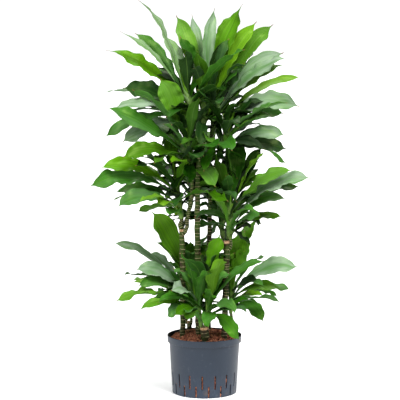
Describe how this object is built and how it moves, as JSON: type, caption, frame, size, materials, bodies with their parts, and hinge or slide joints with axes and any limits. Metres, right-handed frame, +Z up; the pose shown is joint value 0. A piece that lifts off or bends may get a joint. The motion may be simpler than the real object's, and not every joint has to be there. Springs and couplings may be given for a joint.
{
  "type": "potted dracaena",
  "caption": "Cane dracaena in a slotted round grow pot of clay granules: bare ringed canes at staggered heights, each topped with rosettes of broad arching strap leaves.",
  "frame": {"origin": "centre of the pot's flat underside, which stands on the floor", "axes": "+Z up, the plant's longest extent; front of the plant towards -Y; +X to its right as seen from the front"},
  "size_m": [0.708, 0.5378, 1.277],
  "materials": {
    "pot_plastic": "matte",
    "clay": "matte",
    "cane_bark": "satin",
    "shoot_bark": "satin",
    "leaf": "satin"
  },
  "bodies": {
    "root": {"cane_left": "cane_bark", "cane_right": "cane_bark", "cane_short_front": "cane_bark", "cane_short_rear_left": "cane_bark", "cane_short_rear_right": "cane_bark", "cane_tall_left": "cane_bark", "cane_tall_right": "cane_bark", "clay_granules": "clay", "grow_pot": "pot_plastic", "low_back_lower_leaves": "leaf", "low_back_shoot": "shoot_bark", "low_back_upper_leaves": "leaf", "low_centre_lower_leaves": "leaf", "low_centre_shoot": "shoot_bark", "low_centre_upper_leaves": "leaf", "low_front_lower_leaves": "leaf", "low_front_shoot": "shoot_bark", "low_front_upper_leaves": "leaf", "low_left_lower_leaves": "leaf", "low_left_shoot": "shoot_bark", "low_left_upper_leaves": "leaf", "low_right_lower_leaves": "leaf", "low_right_shoot": "shoot_bark", "low_right_upper_leaves": "leaf", "mid_back_lower_leaves": "leaf", "mid_back_shoot": "shoot_bark", "mid_back_upper_leaves": "leaf", "mid_centre_lower_leaves": "leaf", "mid_centre_shoot": "shoot_bark", "mid_centre_upper_leaves": "leaf", "mid_left_lower_leaves": "leaf", "mid_left_shoot": "shoot_bark", "mid_left_upper_leaves": "leaf", "mid_right_lower_leaves": "leaf", "mid_right_shoot": "shoot_bark", "mid_right_upper_leaves": "leaf", "top_centre_lower_leaves": "leaf", "top_centre_shoot": "shoot_bark", "top_centre_upper_leaves": "leaf", "top_left_lower_leaves": "leaf", "top_left_shoot": "shoot_bark", "top_left_upper_leaves": "leaf", "top_right_lower_leaves": "leaf", "top_right_shoot": "shoot_bark", "top_right_upper_leaves": "leaf", "upper_left_lower_leaves": "leaf", "upper_left_shoot": "shoot_bark", "upper_left_upper_leaves": "leaf", "upper_right_lower_leaves": "leaf", "upper_right_shoot": "shoot_bark", "upper_right_upper_leaves": "leaf"}
  },
  "joints": []
}
